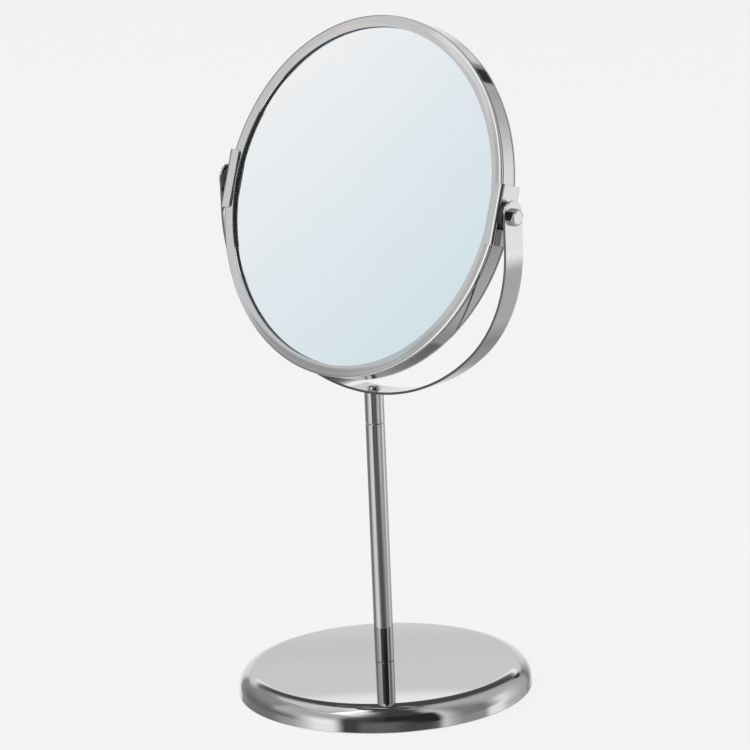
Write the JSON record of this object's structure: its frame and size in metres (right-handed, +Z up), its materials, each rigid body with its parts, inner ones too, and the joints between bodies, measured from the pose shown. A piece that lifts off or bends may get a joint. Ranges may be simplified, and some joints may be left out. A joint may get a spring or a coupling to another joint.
{
  "type": "round swivel table mirror",
  "caption": "Two-sided round mirror that turns over in a U-shaped yoke, on a thin steel stem and a low round weighted base.",
  "frame": {"origin": "centre of the footprint, on the table", "axes": "+Z up along the stem; the pivot axis lies along X; the plain glass faces -Y, tipped up at rest"},
  "size_m": [0.1874, 0.1404, 0.3212],
  "materials": {
    "polished_steel": "polished stainless steel",
    "zinc_steel": "zinc-plated steel",
    "cast_iron": "painted casting",
    "pad_rubber": "matt",
    "mirror_glass": "silvered glass",
    "black_bead": "matt black",
    "black_nylon": "satin black",
    "white_moulding": "moulded"
  },
  "bodies": {
    "stand": {"base_cover": "polished_steel", "base_weight": "cast_iron", "base_pad": "pad_rubber", "stem_screw": "zinc_steel", "lock_washer": "zinc_steel", "stem_tube": "polished_steel", "stem_lower_plug": "zinc_steel", "stem_upper_plug": "zinc_steel", "coupling_stud": "zinc_steel", "neck_collar": "polished_steel", "yoke": "polished_steel", "yoke_screw": "polished_steel"},
    "mirror_head": {"ring_band": "polished_steel", "front_bezel": "polished_steel", "rear_bezel": "polished_steel", "front_gasket": "black_bead", "rear_gasket": "black_bead", "plain_glass": "mirror_glass", "magnifying_glass": "mirror_glass", "glass_spacer": "white_moulding", "clip_left": "polished_steel", "pivot_washer_left": "black_nylon", "pivot_screw_left": "polished_steel", "nut_plate_left": "zinc_steel", "clip_right": "polished_steel", "pivot_washer_right": "black_nylon", "pivot_screw_right": "polished_steel", "nut_plate_right": "zinc_steel"}
  },
  "joints": [
    {"name": "mirror_tilt", "type": "hinge", "parent": "stand", "child": "mirror_head", "pos_m": [0, 0, 0.239], "axis": [1, 0, 0], "continuous": true}
  ]
}
